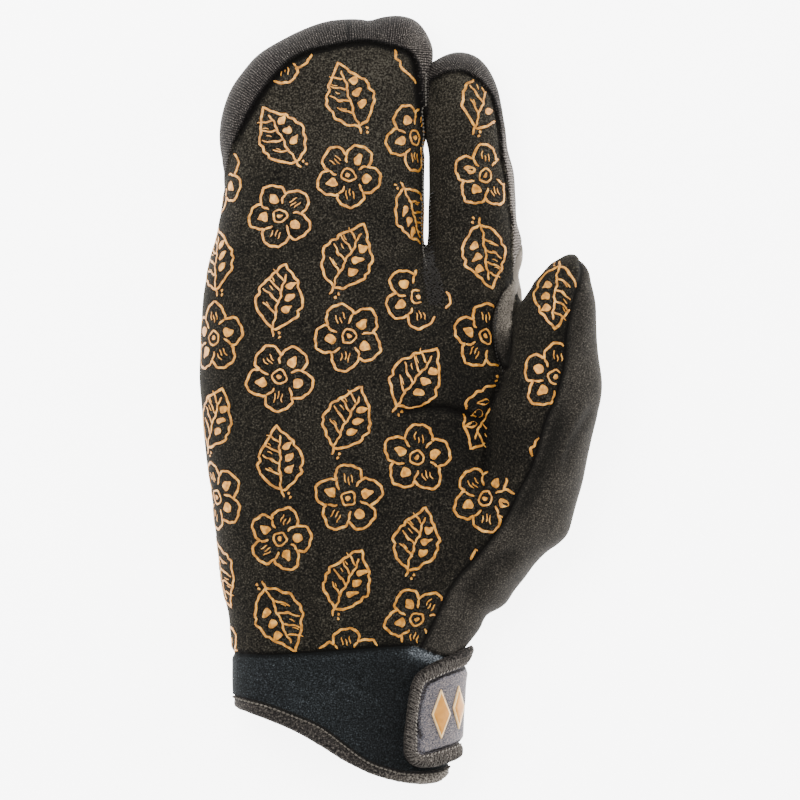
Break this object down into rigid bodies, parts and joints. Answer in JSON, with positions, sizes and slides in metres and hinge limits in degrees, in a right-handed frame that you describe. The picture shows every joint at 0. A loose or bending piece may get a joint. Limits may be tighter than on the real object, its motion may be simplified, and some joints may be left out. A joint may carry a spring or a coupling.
{
  "type": "split-finger winter mitten",
  "caption": "Split-finger winter mitten lying palm up: printed suede palm, ribbed fingertip bands, plain back and thumb, neoprene cuff, bound hem and wrist strap.",
  "frame": {"origin": "middle of the mitten's footprint, on the surface it lies on", "axes": "+Y to the fingertips, +X to the thumb's side, +Z out of the palm"},
  "size_m": [0.1377, 0.2629, 0.0418],
  "materials": {
    "palm_suede": "black brushed suede microfibre with a tan printed pattern",
    "softshell": "plain charcoal softshell, closely woven, soft sheen",
    "ribbed_knit": "charcoal knit with fine ribs",
    "neoprene": "blue-black jersey on neoprene foam",
    "binding_tape": "fuzzy knitted binding with a stitch line",
    "strap_face": "grey woven strap face",
    "rubber_print": "tan moulded rubber with a pale edge"
  },
  "bodies": {
    "root": {"palm_panel": "palm_suede", "back_shell": "softshell", "tip_band_outer": "ribbed_knit", "tip_band_inner": "ribbed_knit", "index_band": "ribbed_knit", "cuff": "neoprene", "hem_binding": "binding_tape", "strap_tab": "strap_face", "strap_binding": "binding_tape", "emblem_lozenge_1": "rubber_print", "emblem_lozenge_2": "rubber_print"}
  },
  "joints": []
}
